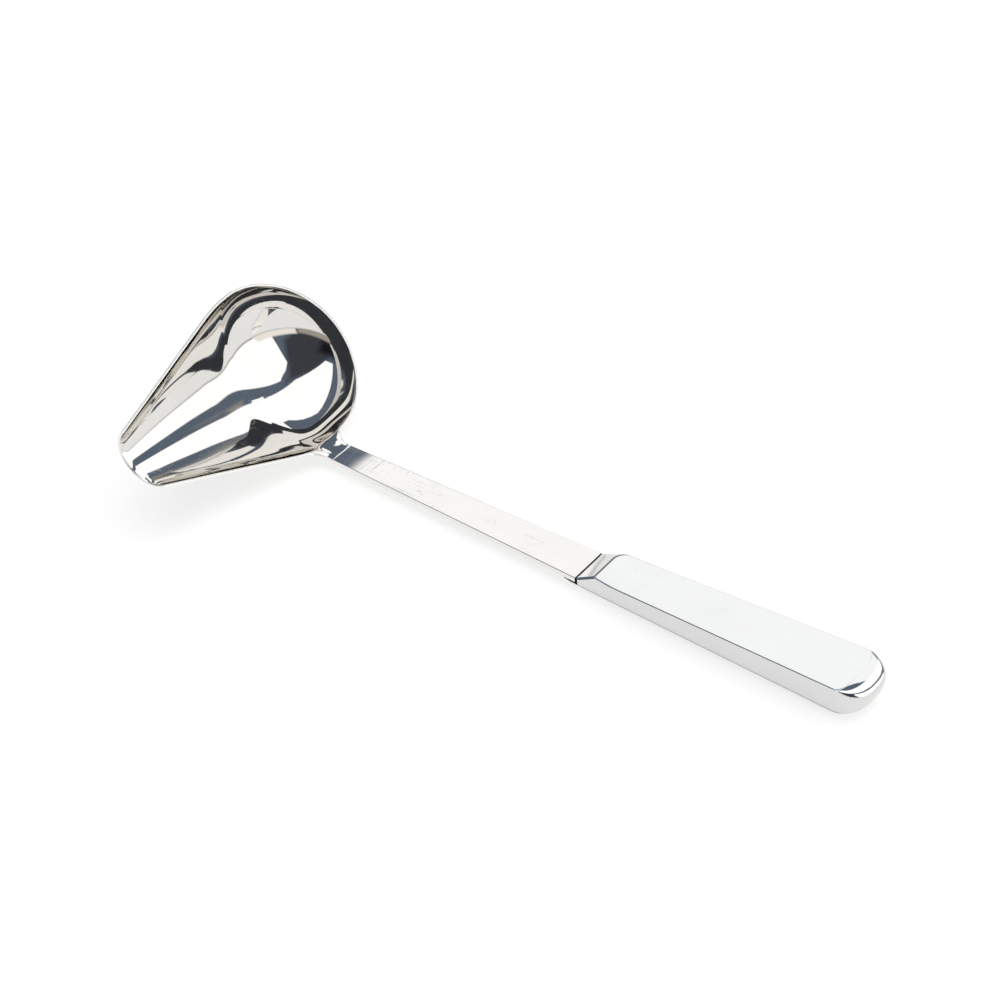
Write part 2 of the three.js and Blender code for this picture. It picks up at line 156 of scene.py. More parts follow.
class BowlFace:
    """One face of the sheet: wall 0 is the outside, BOWL_WALL the inside."""

    def __init__(self, wall):
        self.radius = RIM_RADIUS - wall
        self.depth = BOWL_DEPTH - wall
        self.lip_depth = MOUTH_DEPTH - wall
        self.near_corner = (MOUTH_SHIFT + MOUTH_HALF_WIDTH - wall, -SPOUT_REACH)
        self.far_corner = (MOUTH_SHIFT - MOUTH_HALF_WIDTH + wall, -SPOUT_REACH)
        self.near_touch = self.touch(self.near_corner, 1)
        self.far_touch = self.touch(self.far_corner, -1)
        self.floor_start = -FLOOR_START_SHARE * self.radius
        self.start_depth, self.start_draft = self.cap(self.floor_start)

    def touch(self, corner, side):
        """Where a straight rim from the corner touches the round one."""
        angle = math.atan2(corner[1], corner[0])
        angle += side * math.acos(self.radius / math.hypot(*corner))
        return self.radius * math.cos(angle), self.radius * math.sin(angle)

    def edge(self, v, corner, touch, side):
        """The rim's distance from the middle line: round, then straight, melted together."""
        reach = RIM_MELT * np.clip(2 - (v - touch[1]) / RIM_MELT, 0, 1)
        places = v + reach * np.linspace(-1, 1, RIM_MELT_STEPS)
        round_edge = side * np.sqrt(np.maximum(0, self.radius ** 2 - places ** 2))
        straight = lerp(touch[0], corner[0], (places - touch[1]) / (corner[1] - touch[1]))
        return float(np.where(places > touch[1], round_edge, straight).mean())

    def cap(self, v):
        level = math.sqrt(max(0, 1 - (v * math.cos(WALL_DRAFT) / self.radius) ** 2))
        sine = math.sin(WALL_DRAFT)
        return self.depth * (level - sine) / (1 - sine), math.asin(min(1, sine / max(level, sine)))

    def pull(self, v):
        if v > 0:
            return RIM_PULL * smoothstep((RIM_PULL_START - v) / (RIM_PULL_START - FILLET_HIGH))
        return RIM_PULL * smoothstep(1 + v / FILLET_HIGH)

    def section(self, row):
        v = row * self.radius / RIM_RADIUS if row > 0 else row
        near = self.edge(v, self.near_corner, self.near_touch, 1)
        far = self.edge(v, self.far_corner, self.far_touch, -1)
        depth, draft = self.cap(max(v, self.floor_start - FLOOR_BLEND))
        straight_share = (v - self.floor_start) / (-SPOUT_REACH - self.floor_start)
        straight = lerp(self.start_depth, self.lip_depth, straight_share)
        blend = smoothstep((self.floor_start - v) / (2 * FLOOR_BLEND) + 0.5)
        return {
            "v": v,
            "middle": (near + far) / 2,
            "half": (near - far) / 2,
            "depth": lerp(depth, straight, blend),
            "draft": lerp(draft, self.start_draft, blend),
            "lean": MOUTH_LEAN * smoothstep(-v / SPOUT_REACH),
            "bulge": LIP_BULGE * smoothstep(-2 * v / SPOUT_REACH - 1),
            "pull": self.pull(v),
            "roll": LIP_ROLL * max(0, 1 - (v + SPOUT_REACH) / LIP_ROLL_LENGTH) ** 2,
        }

    def points(self, row, part):
        """part runs from 0 at the rim's high side to 1 at the stem side."""
        s = self.section(row)
        part = np.asarray(part, float)
        if row >= RIM_RADIUS:
            return from_rim(np.zeros_like(part), s["v"], 0)
        angle = lerp(math.pi - s["draft"], s["draft"], part)
        sine = math.sin(s["draft"])
        sink = (np.sin(angle) - sine) / (1 - sine)
        drop = s["depth"] * sink
        across = s["half"] * np.cos(angle) / math.cos(s["draft"])
        pulled = s["pull"] * smoothstep(PULL_SHARE * part - PULL_SHARE + 1)
        u = s["middle"] + across - s["lean"] * drop - pulled
        return from_rim(u, s["v"] - s["bulge"] * sink, -drop - s["roll"] * sink)


# ---------------------------------------------------------------- bowl, spout, stem and tang

BACK_ROWS = 44
SHOULDER_ROWS = 6              # on each side of the stem's middle rows, which go on as the tang
TANG_ROWS = 24
SPOUT_ROWS = 60
ROLL_ROWS = 5
ARC_STEPS = 104
BEND_STEPS = 20
STEM_STEPS = 24
TANG_STEPS = 6
NECK_STEP = 1.5                # last step of the stem before its shoulders
FLAT_MARGIN = 0.4              # a narrow strip round a flat face, so that the rest shades flat
SLOPE_PROBE = 0.001
RIM_PROBE = 0.1


def rows_of_sheet():
    """(row position, place across the stem or None) for each row, from the back to the lip."""
    touch_v = BowlFace(0).near_touch[1]
    back_angle = math.acos(FILLET_HIGH / RIM_RADIUS)
    rows = [(RIM_RADIUS, None)]
    rows += [(RIM_RADIUS * math.cos(a), None) for a in steps(0, back_angle, BACK_ROWS)[:-1]]
    tang_share = TANG_HALF_WIDTH / STEM_HALF_WIDTH_NECK
    across = [1.0] + steps(1, tang_share, SHOULDER_ROWS) + steps(tang_share, -tang_share, TANG_ROWS)
    across += steps(-tang_share, -1, SHOULDER_ROWS)
    rows += [(lerp(FILLET_HIGH, touch_v, (1 - a) / 2), a) for a in across]
    roll_start = LIP_ROLL_LENGTH - SPOUT_REACH
    rows += [(v, None) for v in steps(touch_v, roll_start, SPOUT_ROWS)]
    rows += [(v, None) for v in steps(roll_start, -SPOUT_REACH, ROLL_ROWS)]
    return rows


def unit(vector):
    return vector / np.linalg.norm(vector)


def hermite(start, start_slope, end, end_slope, t):
    t2 = t * t
    t3 = t2 * t
    return (start * (2 * t3 - 3 * t2 + 1) + start_slope * (t3 - 2 * t2 + t)
            + end * (3 * t2 - 2 * t3) + end_slope * (t3 - t2))


def stem_half_width(x):
    return lerp(STEM_HALF_WIDTH_BOWL, STEM_HALF_WIDTH_NECK, x / NECK_X)


def sheet_line(face, row, across, stem_z, tang_share):
    """One row of a face: the bowl's section and, at the stem, the bend and the stem itself."""
    if across is None:
        return list(face.points(row, np.linspace(0, 1, ARC_STEPS + 1)))
    edge_share = across * across
    drop = BEND_DROP * (1 - edge_share)
    end_part = 1 - drop / (math.pi * face.section(row)["depth"])
    line = list(face.points(row, np.linspace(0, end_part, ARC_STEPS + 1)))
    start = line[-1]
    up_wall = unit(face.points(row, end_part + SLOPE_PROBE) - start)
    side = 1 if across > 0 else -1
    rim_step = unit(face.points(row - side * RIM_PROBE, 1) - face.points(row, 1))
    slope = up_wall * (1 - edge_share) + rim_step * edge_share
    end = np.array([BEND_END, across * stem_half_width(BEND_END), stem_z])
    reach = np.linalg.norm(end - start)
    along = np.array([reach, 0, 0])
    line += [hermite(start, unit(slope) * reach, end, along, t) for t in steps(0, 1, BEND_STEPS)]
    flat_start = BEND_END + FLAT_MARGIN
    stations = [flat_start] + steps(flat_start, NECK_X - NECK_STEP, STEM_STEPS) + [NECK_X]
    line += [np.array([x, across * stem_half_width(x), stem_z]) for x in stations]
    if abs(across) < tang_share + 1e-6:
        y = across * STEM_HALF_WIDTH_NECK
        line += [np.array([x, y, stem_z]) for x in steps(NECK_X, TANG_END_X, TANG_STEPS)]
    return line


def sheet_grid(lines):
    """Vertex numbers for each row, one shared vertex for the first row, and the quads between."""
    points = [lines[0][0]]
    ids = [[0] * len(lines[0])]
    for line in lines[1:]:
        ids.append(list(range(len(points), len(points) + len(line))))
        points += line
    faces = []
    for a, b in zip(ids, ids[1:]):
        for i in range(min(len(a), len(b)) - 1):
            quad = [a[i], b[i], b[i + 1], a[i + 1]]
            faces.append(quad if a[i] != a[i + 1] else quad[:3])
    return np.array(points), faces


def open_edges(faces):
    """The grid's boundary as one loop of vertex numbers, in the faces' own direction."""
    directed = set()
    for face in faces:
        directed.update(zip(face, face[1:] + face[:1]))
    following = {a: b for a, b in directed if (b, a) not in directed}
    loop = [min(following)]
    while following[loop[-1]] != loop[0]:
        loop.append(following[loop[-1]])
    return loop


EDGE_ROUND_STEPS = 5
RIM_ROUNDING_SHARE = 0.42      # of the thickness: the rim is almost fully rounded
STEM_ROUNDING = 0.15           # millimetres: the stem is only broken at its corners
STEP_SHARE = 0.7               # and no rounding reaches past this share of the grid's next step


def steps_inwards(points, faces, loop):
    """The shortest grid edge from each vertex of the loop into the sheet."""
    shortest = dict.fromkeys(loop, math.inf)
    for face in faces:
        for a, b in zip(face, face[1:] + face[:1]):
            if (a in shortest) != (b in shortest):
                edge_vertex = a if a in shortest else b
                length = np.linalg.norm(points[a] - points[b])
                shortest[edge_vertex] = min(shortest[edge_vertex], length)
    return np.array([shortest[i] for i in loop])[:, None]


def close_sheet(top, bottom, faces):
    """Joins two faces into a sheet whose open edge is rounded off."""
    loop = open_edges(faces)
    top_edge = top[loop]
    through = bottom[loop] - top_edge
    thickness = np.linalg.norm(through, axis=1, keepdims=True)
    through = through / thickness
    ahead = np.roll(top_edge, -1, axis=0) - top_edge
    ahead /= np.linalg.norm(ahead, axis=1, keepdims=True)
    behind = np.roll(ahead, 1, axis=0)
    outward = np.cross(through, ahead)
    outward /= np.linalg.norm(outward, axis=1, keepdims=True)
    outward_behind = np.cross(through, behind)
    outward_behind /= np.linalg.norm(outward_behind, axis=1, keepdims=True)
    turn = (outward + outward_behind) / 2
    # a mitre at the corners, at most a right angle's
    mitre = turn / np.maximum((turn * turn).sum(1, keepdims=True), 0.5)
    radius = np.minimum(RIM_ROUNDING_SHARE * thickness,
                        np.interp(thickness, (BOWL_WALL, STEM_THICKNESS),
                                  (RIM_ROUNDING_SHARE * BOWL_WALL, STEM_ROUNDING)))
    radius = np.minimum(radius, STEP_SHARE * steps_inwards(top, faces, loop))

    def corner(points, inwards, angle):
        centre = points - mitre * radius + inwards * radius
        return centre + radius * (mitre * math.sin(angle) - inwards * math.cos(angle))

    angles = [math.pi / 2 * k / EDGE_ROUND_STEPS for k in range(EDGE_ROUND_STEPS + 1)]
    rings = [corner(top_edge, through, angle) for angle in angles]
    rings += [corner(bottom[loop], -through, angle) for angle in reversed(angles)]
    top = top.copy()
    bottom = bottom.copy()
    top[loop] = rings[0]
    bottom[loop] = rings[-1]
    count = len(top)
    ring_ids = [loop]
    points = [top, bottom]
    used = 2 * count
    for ring in rings[1:-1]:
        ring_ids.append(list(range(used, used + len(loop))))
        points.append(ring)
        used += len(loop)
    ring_ids.append([i + count for i in loop])
    all_faces = list(faces) + [[i + count for i in reversed(face)] for face in faces]
    for a, b in zip(ring_ids, ring_ids[1:]):
        for k in range(len(loop)):
            n = (k + 1) % len(loop)
            all_faces.append([a[n], a[k], b[k], b[n]])
    return np.concatenate(points), all_faces, 2 * count


def ladle_sheet():
    tang_share = TANG_HALF_WIDTH / STEM_HALF_WIDTH_NECK
    rows = rows_of_sheet()
    inside = BowlFace(BOWL_WALL)
    outside = BowlFace(0)
    top = sheet_grid([sheet_line(inside, r, a, 0, tang_share) for r, a in rows])[0]
    bottom, faces = sheet_grid([sheet_line(outside, r, a, -STEM_THICKNESS, tang_share)
                                for r, a in rows])
    return close_sheet(top, bottom, faces)


# ---------------------------------------------------------------- the handle's shells

CORNER_STEPS = 12
SIDE_STEPS = 22
SIDE_CROWDING = 1.8
END_STEPS = 34
FACET_EDGE = 0.22              # rounding along the flat top's edge
FACET_EDGE_STEPS = 6
RINGS = 26                     # in each shell's wall
RING_CROWDING = 1.25           # of the upper shell's, towards the flat top
FRONT_RINGS = 6                # from the seam to the ledge under the stem
LEDGE_STEP = 0.05
LEDGE_TRIM = 0.25


def handle_half_width(x):
    share = (x - FACET_FRONT_X) / (FACET_REAR_X - FACET_FRONT_X)
    return lerp(FACET_FRONT_HALF_WIDTH, FACET_REAR_HALF_WIDTH, share)


def facet_z(x):
    return lerp(FACET_FRONT_Z, FACET_REAR_Z, (x - FACET_FRONT_X) / (FACET_REAR_X - FACET_FRONT_X))


def handle_outline(front_x, inset, bulge, corner_share, height,
                   rear_x=FACET_REAR_X, fullness=END_PLAN_FULLNESS):
    """One closed outline around the handle, as in the CAD model but finer."""
    end_x = FACET_REAR_X + bulge

    def side(corner, pinch):
        def half(x):
            along = smoothstep((x - FACET_FRONT_X) / PINCH_LENGTH)
            return handle_half_width(x) - inset - pinch * (1 - along) ** 2
        points = []
        for k in range(CORNER_STEPS + 1):
            angle = k / CORNER_STEPS * math.pi / 2
            x = front_x + corner * (1 - math.cos(angle))
            points.append((x, half(x) - corner * (1 - math.sin(angle))))
        for t in steps(0, 1, SIDE_STEPS):
            x = lerp(front_x + corner, rear_x, t ** SIDE_CROWDING)
            points.append((x, half(x)))
        for k in range(1, END_STEPS):
            angle = (1 - k / END_STEPS) * math.pi / 2
            along = math.cos(angle) ** (2 / fullness)
            points.append((rear_x + (end_x - rear_x) * along,
                           half(rear_x) * math.sin(angle) ** (2 / fullness)))
        return points

    away = side(lerp(MOUTH_CORNER, FACET_CORNER_AWAY, corner_share), 0)
    near = side(lerp(MOUTH_CORNER, FACET_CORNER_SPOUT, corner_share), FACET_PINCH * corner_share)
    outline = [(front_x, 0)] + away + [(end_x, 0)] + [(x, -y) for x, y in reversed(near)]
    return np.array([(x, y, height(x)) for x, y in outline])


LIP_SHARE = (FACET_FRONT_Z - GAP) / (FACET_FRONT_Z - SEAM_Z)


def end_bulge_at(z, wall):
    reach, power = (END_RISE, END_FULLNESS) if z > END_WIDE_Z else (END_FALL, 2)
    share = min(1, abs(z - END_WIDE_Z) / (reach - wall))
    return (END_BULGE - wall) * (1 - share ** power) ** (1 / power)


def upper_outline(share, wall, trim=0.0, sunk=0.0):
    """share is 0 at the flat top and 1 at the seam; trim and sunk shape the top's rounded edge."""
    forward = min(1, share / LIP_SHARE)
    end_z = lerp(FACET_REAR_Z - wall, SEAM_Z, share)
    return handle_outline(
        front_x=lerp(FACET_FRONT_X, HANDLE_MOUTH_X, forward) + 2 * wall + trim,
        inset=wall + trim,
        bulge=end_bulge_at(end_z, wall) - trim,
        corner_share=1 - forward,
        height=lambda x: lerp(facet_z(x) - wall, SEAM_Z, share) - sunk,
    )


def lower_outline(z, wall, front_x, trim=0.0):
    low = max(0, 1 - (z - BOTTOM_Z - wall) / (BOTTOM_ROUND_HEIGHT - wall))
    turn = 1 - math.sqrt(1 - min(1, low) ** 2)
    return handle_outline(
        front_x=front_x + wall + trim,
        inset=wall + (BOTTOM_ROUND_WIDTH - wall) * turn + trim,
        bulge=end_bulge_at(z, wall) - trim,
        corner_share=0,
        height=lambda x: z,
        rear_x=FACET_REAR_X - BOTTOM_END_LEAD * turn,
        fullness=lerp(END_PLAN_FULLNESS, 2, low),
    )


def prow_x(z):
    top = -STEM_THICKNESS - GAP
    fall = min(1, max(0, (top - z) / (top - BOTTOM_Z)))
    return lerp(PROW_TIP_X, PROW_FULL_X, fall ** PROW_POWER)


def upper_rings(wall):
    """Outlines from the middle of the flat top down to the seam."""
    if wall:
        rings = [upper_outline(0, wall, FLAT_MARGIN), upper_outline(0, wall)]
    else:
        rings = [upper_outline(0, 0, FACET_EDGE + FLAT_MARGIN)]
        for k in range(FACET_EDGE_STEPS):
            angle = k / FACET_EDGE_STEPS * math.pi / 2
            trim = FACET_EDGE * (1 - math.sin(angle))
            rings.append(upper_outline(0, 0, trim, FACET_EDGE * (1 - math.cos(angle))))
    start = 0 if wall else FACET_EDGE / (FACET_REAR_Z - SEAM_Z)
    for share in (np.linspace(start, 1, RINGS) ** RING_CROWDING)[1:]:
        rings.append(upper_outline(share, wall))
    return rings


def lower_rings(wall):
    """Outlines from the seam down to the middle of the flat underside."""
    ledge = -STEM_THICKNESS - GAP - wall / 2
    base = BOTTOM_Z + wall
    rings = [lower_outline(z, wall, HANDLE_MOUTH_X)
             for z in np.linspace(SEAM_Z, ledge + LEDGE_STEP, FRONT_RINGS)]
    rings.append(lower_outline(ledge, wall, prow_x(ledge - wall), LEDGE_TRIM))
    for angle in np.linspace(0, math.pi / 2, RINGS)[1:]:
        z = lerp(ledge, base, math.sin(angle))
        rings.append(lower_outline(z, wall, prow_x(z - wall)))
    rings.append(lower_outline(base, wall, PROW_FULL_X, FLAT_MARGIN))
    return rings


def shell_mesh(outer, inner):
    """A shell between two stacks of outlines that run from the closed side to the seam."""
    count = len(outer[0])
    rings = outer + inner[::-1]
    points = np.concatenate(rings)
    faces = [list(range(count))[::-1]]
    for k in range(len(rings) - 1):
        for i in range(count):
            j = (i + 1) % count
            faces.append([k * count + i, k * count + j, (k + 1) * count + j, (k + 1) * count + i])
    last = (len(rings) - 1) * count
    faces.append([last + i for i in range(count)])
    return points, faces


# ---------------------------------------------------------------- meshes

SHARP_ANGLE = math.radians(32)


def make_piece(name, points, faces, node, material, edge_start=None):
    """edge_start is the number of the first vertex of a satin edge."""
    mesh = bpy.data.meshes.new(name)
    mesh.from_pydata([tuple(p) for p in to_frame(points)], [], faces)
    mesh.update()
    edge = mesh.attributes.new("edge", "FLOAT", "POINT")
    if edge_start:
        for k in range(edge_start, len(mesh.vertices)):
            edge.data[k].value = 1
    piece = bpy.data.objects.new(name, mesh)
    bpy.context.scene.collection.objects.link(piece)
    finish_piece(piece, node, material)
    return piece


def finish_piece(piece, node, material):
    mesh = piece.data
    for polygon in mesh.polygons:
        polygon.use_smooth = True
    mesh.set_sharp_from_angle(angle=SHARP_ANGLE)
    mesh.materials.clear()
    mesh.materials.append(material)
    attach(piece, "root")
    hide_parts(node)


def cut_box(piece, low, high):
    """Cuts a box, given in the millimetre frame, out of a piece."""
    corners = to_frame([low, high])
    mesh = bpy.data.meshes.new("cutter")
    x, y, z = zip(*corners)
    points = [(x[i & 1], y[i >> 1 & 1], z[i >> 2]) for i in range(8)]
    faces = [(0, 2, 3, 1), (4, 5, 7, 6), (0, 1, 5, 4), (2, 6, 7, 3), (0, 4, 6, 2), (1, 3, 7, 5)]
    mesh.from_pydata(points, [], faces)
    cutter = bpy.data.objects.new("cutter", mesh)
    bpy.context.scene.collection.objects.link(cutter)
    modifier = piece.modifiers.new("cut", "BOOLEAN")
    modifier.operation = "DIFFERENCE"
    modifier.solver = "EXACT"
    modifier.object = cutter
    graph = bpy.context.evaluated_depsgraph_get()
    cut = bpy.data.meshes.new_from_object(piece.evaluated_get(graph))
    piece.modifiers.clear()
    piece.data = cut
    bpy.data.objects.remove(cutter)


# ---------------------------------------------------------------- materials

# Scales are per metre, heights and fades in metres.
SCRATCH_WIDTH = 0.012          # of the stretched noise's range
SCRATCH_PATCH_SCALE = 90
SCRATCH_FIELDS = [             # scale and turn of each
    ((25, 700, 700), (0.2, 0.3, 0.5)),
    ((500, 22, 500), (0.4, -0.2, 0.9)),
]
GRAIN_ACROSS = 3500
GRAIN_ALONG = 45
WAVE_SCALE = 62
WAVE_HEIGHT = 0.000006
GRAIN_HEIGHT = 0.0000001
SMUDGE_SCALE = 38
SPECK_SCALE = 900
# painted shade: the stem's top inside the handle's mouth is coloured near-black, in place of the
# shadow that falls there
CREVICE_SHADE_FADE = 0.00015
CREVICE_SHADE_REACH = 0.35           # millimetres, out of the handle's mouth
CREVICE_SHADE_COLOUR = (0.03, 0.03, 0.032)
SMUDGE_ROUGHNESS = 0.02
GRAIN_ROUGHNESS = 0.006
SCRATCH_ROUGHNESS = 0.15
SPECK_ROUGHNESS = 0.2
EDGE_ROUGHNESS = 0.22
DULL_SHARE = 0.96              # of the tint, in smudges
WORN_SHARE = 1.12              # of the tint, in scratches and on the rim
WELD_TINTS = ((0.46, 0.44, 0.42), (0.34, 0.33, 0.36))
WELD_RIPPLE_SCALE = (900, 300, 900)
WELD_RIPPLE_HEIGHT = 0.00008
WELD_HEAT_SCALE = 120


class Nodes:
    """A small helper to build a material's node tree."""

    def __init__(self, name):
        self.material = bpy.data.materials.new(name)
        self.material.use_nodes = True
        self.tree = self.material.node_tree
        self.shader = self.tree.nodes["Principled BSDF"]

    def add(self, kind, inputs=None, **settings):
        node = self.tree.nodes.new(kind)
        for key, value in settings.items():
            setattr(node, key, value)
        for key, value in (inputs or {}).items():
            if isinstance(value, bpy.types.NodeSocket):
                self.tree.links.new(value, node.inputs[key])
            else:
                node.inputs[key].default_value = value
        return node

    def link(self, source, target):
        self.tree.links.new(source, target)

    def mapped(self, scale, turn=(0, 0, 0)):
        """Object coordinates, scaled for a texture whose own scale is then 1."""
        coordinates = self.add("ShaderNodeTexCoord")
        mapping = self.add("ShaderNodeMapping", {"Vector": coordinates.outputs["Object"]})
        mapping.inputs["Scale"].default_value = scale
        mapping.inputs["Rotation"].default_value = turn
        return mapping.outputs["Vector"]


def noise(nodes, vector, detail=2.0, roughness=0.5):
    return nodes.add("ShaderNodeTexNoise", {"Vector": vector, "Scale": 1.0, "Detail": detail,
                                            "Roughness": roughness}).outputs["Fac"]


def ranged(nodes, value, low, high, to_low, to_high):
    """Maps low..high to to_low..to_high, and clamps."""
    return nodes.add("ShaderNodeMapRange", {"Value": value, "From Min": low, "From Max": high,
                                            "To Min": to_low, "To Max": to_high}).outputs["Result"]


def combined(nodes, operation, first, second):
    return nodes.add("ShaderNodeMath", {0: first, 1: second}, operation=operation).outputs["Value"]


def scratches(nodes, scale, turn):
    """Sparse hair scratches: thin ridges of a stretched noise, 0 to 1."""
    ridge = noise(nodes, nodes.mapped(scale, turn), 1.0)
    off_ridge = nodes.add("ShaderNodeMath", {0: ranged(nodes, ridge, 0, 1, -0.5, 0.5)},
                          operation="ABSOLUTE").outputs["Value"]
    patchy = noise(nodes, nodes.mapped((SCRATCH_PATCH_SCALE,) * 3, turn), 2.0)
    line = ranged(nodes, off_ridge, 0, SCRATCH_WIDTH, 1, 0)
    return combined(nodes, "MULTIPLY", line, ranged(nodes, patchy, 0.5, 0.62, 0, 1))


def steel(name, tint, roughness, grain_turn=(0, 0, 0), painted_shade_start=None):
    """Mirror-polished steel: hand-polished waves, fine lines, hairs, smudges and worn edges.

    From the given x on, into the handle's mouth, the colour turns near-black: painted shade
    standing in for the shadow there.
    """
    nodes = Nodes(name)
    shader = nodes.shader
    shader.inputs["Metallic"].default_value = 1
    shader.inputs["Specular Tint"].default_value = (1, 0.99, 0.97, 1)

    smudge = noise(nodes, nodes.mapped((SMUDGE_SCALE,) * 3), 5.0, 0.6)
    grain = noise(nodes, nodes.mapped((GRAIN_ALONG, GRAIN_ACROSS, GRAIN_ACROSS), grain_turn), 3.0)
    hairs = combined(nodes, "MAXIMUM", *[scratches(nodes, *field) for field in SCRATCH_FIELDS])
    speck = noise(nodes, nodes.mapped((SPECK_SCALE,) * 3), 0.0)
    specks = ranged(nodes, speck, 0.80, 0.84, 0, 0.3)
    edge = nodes.add("ShaderNodeAttribute", attribute_name="edge").outputs["Fac"]

    rough = combined(nodes, "ADD",
                     ranged(nodes, smudge, 0.42, 0.75, roughness, roughness + SMUDGE_ROUGHNESS),
                     ranged(nodes, grain, 0.3, 0.7, 0, GRAIN_ROUGHNESS))
    for mask, more in ((hairs, SCRATCH_ROUGHNESS), (specks, SPECK_ROUGHNESS),
                       (edge, EDGE_ROUGHNESS)):
        rough = combined(nodes, "ADD", rough, combined(nodes, "MULTIPLY", mask, more))
    nodes.link(rough, shader.inputs["Roughness"])

    dull = tuple(c * DULL_SHARE for c in tint)
    worn = tuple(min(1, c * WORN_SHARE) for c in tint)
    colour = mix_colour(nodes, ranged(nodes, smudge, 0.45, 0.8, 0, 1), tint, dull)
    colour = mix_colour(nodes, combined(nodes, "MULTIPLY", hairs, 0.5), colour, worn)
    colour = mix_colour(nodes, edge, colour, worn)
    # painted shade: past the given x the colour fades to near-black for the shadow in the handle's
    # mouth
    if painted_shade_start is not None:
        place = nodes.add("ShaderNodeSeparateXYZ", {"Vector": nodes.mapped((1, 1, 1))})
        painted_shade = ranged(nodes, place.outputs["X"], painted_shade_start - CREVICE_SHADE_FADE, painted_shade_start, 0, 1)
        colour = mix_colour(nodes, painted_shade, colour, CREVICE_SHADE_COLOUR)
    nodes.link(colour, shader.inputs["Base Color"])

    waves = noise(nodes, nodes.mapped((WAVE_SCALE,) * 3), 1.0)
    bump = nodes.add("ShaderNodeBump", {"Height": waves, "Strength": 1.0, "Distance": WAVE_HEIGHT})
    fine = nodes.add("ShaderNodeBump", {"Height": grain, "Strength": 1.0, "Distance": GRAIN_HEIGHT,
                                        "Normal": bump.outputs["Normal"]})
    nodes.link(fine.outputs["Normal"], shader.inputs["Normal"])
    return nodes.material


def weld_metal():
    nodes = Nodes("weld")
    shader = nodes.shader
    shader.inputs["Metallic"].default_value = 1
    ripple = noise(nodes, nodes.mapped(WELD_RIPPLE_SCALE), 3.0)
    heat = noise(nodes, nodes.mapped((WELD_HEAT_SCALE,) * 3), 2.0)
    colour = mix_colour(nodes, heat, *WELD_TINTS)
    nodes.link(colour, shader.inputs["Base Color"])
    nodes.link(ranged(nodes, ripple, 0.3, 0.7, 0.38, 0.62), shader.inputs["Roughness"])
    bump = nodes.add("ShaderNodeBump", {"Height": ripple, "Strength": 1.0,
                                        "Distance": WELD_RIPPLE_HEIGHT})
    nodes.link(bump.outputs["Normal"], shader.inputs["Normal"])
    return nodes.material


def mix_colour(nodes, mask, below, above):
    mix = nodes.add("ShaderNodeMix", data_type="RGBA")
    for index, value in ((0, mask), (6, below), (7, above)):
        if isinstance(value, bpy.types.NodeSocket):
            nodes.link(value, mix.inputs[index])
        else:
            mix.inputs[index].default_value = value if index == 0 else (*value, 1)
    return mix.outputs[2]


GRAIN_TURN = (0, 0, 0.6)       # of the bowl's
BOWL_STEEL = steel("bowl_steel", (0.73, 0.715, 0.69), 0.02, GRAIN_TURN,
                   painted_shade_start=to_frame((NECK_X - CREVICE_SHADE_REACH, 0, 0))[0])
HANDLE_STEEL = steel("handle_steel", (0.70, 0.70, 0.695), 0.03)
WELD = weld_metal()

# ---------------------------------------------------------------- pieces

points, faces, edge_start = ladle_sheet()
make_piece("ladle_sheet", points, faces, "ladle_blank", BOWL_STEEL,
           edge_start=edge_start)

SLOT_START = PROW_TIP_X + 3
SLOT_LOW = (SLOT_START, -TANG_HALF_WIDTH - SLOT_CLEARANCE, -STEM_THICKNESS - GAP)
SLOT_HIGH = (FACET_FRONT_X, TANG_HALF_WIDTH + SLOT_CLEARANCE, GAP)
for name, node, rings in (("handle_top", "handle_upper_shell", upper_rings),
                          ("handle_base", "handle_lower_shell", lower_rings)):
    outer = rings(0)
    inner = rings(HANDLE_WALL)
    if rings is lower_rings:
        outer.reverse()
        inner.reverse()
    points, faces = shell_mesh(outer, inner)
    if rings is lower_rings:
        faces = [face[::-1] for face in faces]
    piece = make_piece(name, points, faces, node, HANDLE_STEEL)
    cut_box(piece, SLOT_LOW, SLOT_HIGH)
    finish_piece(piece, node, HANDLE_STEEL)

for node in ("seam_weld", "neck_weld"):
    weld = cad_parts[node]
    weld.data.materials.clear()
    weld.data.materials.append(WELD)

# ---------------------------------------------------------------- floor, camera and light

FLOOR_SIZE = 6
FLOOR_COLOUR = (0.4, 0.4, 0.4, 1)
FLOOR_ROUGHNESS = 0.9
FLOOR_GLOW = 0.68
FLOOR_GLOW_COLOUR = (1, 1, 0.99, 1)

floor_mesh = bpy.data.meshes.new("floor")
half = FLOOR_SIZE / 2
floor_corners = [(-half, -half, 0), (half, -half, 0), (half, half, 0), (-half, half, 0)]
floor_mesh.from_pydata(floor_corners, [], [(0, 1, 2, 3)])
floor = bpy.data.objects.new("floor", floor_mesh)
bpy.context.scene.collection.objects.link(floor)
floor_nodes = Nodes("floor")
floor_nodes.shader.inputs["Base Color"].default_value = FLOOR_COLOUR
floor_nodes.shader.inputs["Roughness"].default_value = FLOOR_ROUGHNESS
floor_nodes.shader.inputs["Specular IOR Level"].default_value = 0
floor_nodes.shader.inputs["Emission Color"].default_value = FLOOR_GLOW_COLOUR
floor_nodes.shader.inputs["Emission Strength"].default_value = FLOOR_GLOW
floor_mesh.materials.append(floor_nodes.material)

AZIMUTH = math.radians(39.171)
ELEVATION = math.radians(39.648)
ROLL = math.radians(-3.140)
DISTANCE = 0.9
LENS = 83.72                   # on Blender's 36 mm sensor
AIM = Vector(to_frame((76.198, 11.929, 0)))

